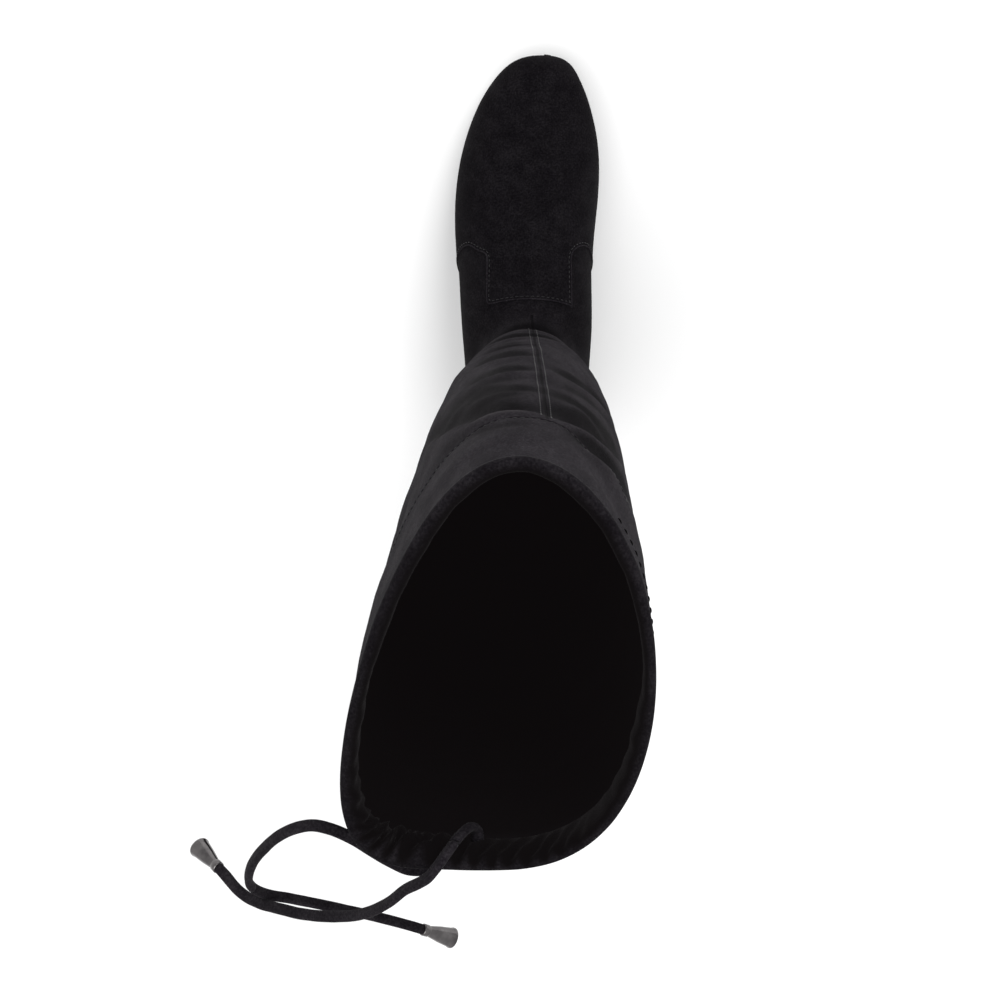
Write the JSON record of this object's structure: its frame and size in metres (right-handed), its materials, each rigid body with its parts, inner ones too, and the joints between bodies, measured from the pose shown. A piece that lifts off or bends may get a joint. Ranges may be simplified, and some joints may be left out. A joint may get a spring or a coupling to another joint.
{
  "type": "tall boot",
  "caption": "Over-the-knee left boot of soft black microsuede with a low hidden heel and a drawstring with metal tips behind the collar",
  "frame": {"origin": "on the floor under the middle of the upper's own box, as the boot stands on its sole", "axes": "toe towards -Y, outer side of the left foot towards +X, collar up towards +Z"},
  "size_m": [0.2092, 0.3936, 0.5401],
  "materials": {
    "upper": "black microsuede with a soft matt nap",
    "outsole": "black moulded rubber",
    "heel": "block covered in black microsuede",
    "heel_top_lift": "black rubber",
    "insole": "dark lining cloth",
    "drawstring_inner": "black suede lace",
    "drawstring_outer": "black suede lace",
    "drawstring_tip_inner": "dark gunmetal plating",
    "drawstring_tip_outer": "dark gunmetal plating"
  },
  "bodies": {
    "root": {"upper": "upper", "outsole": "outsole", "heel": "heel", "heel_top_lift": "heel_top_lift", "insole": "insole", "drawstring_inner": "drawstring_inner", "drawstring_outer": "drawstring_outer", "drawstring_tip_inner": "drawstring_tip_inner", "drawstring_tip_outer": "drawstring_tip_outer"}
  },
  "joints": []
}
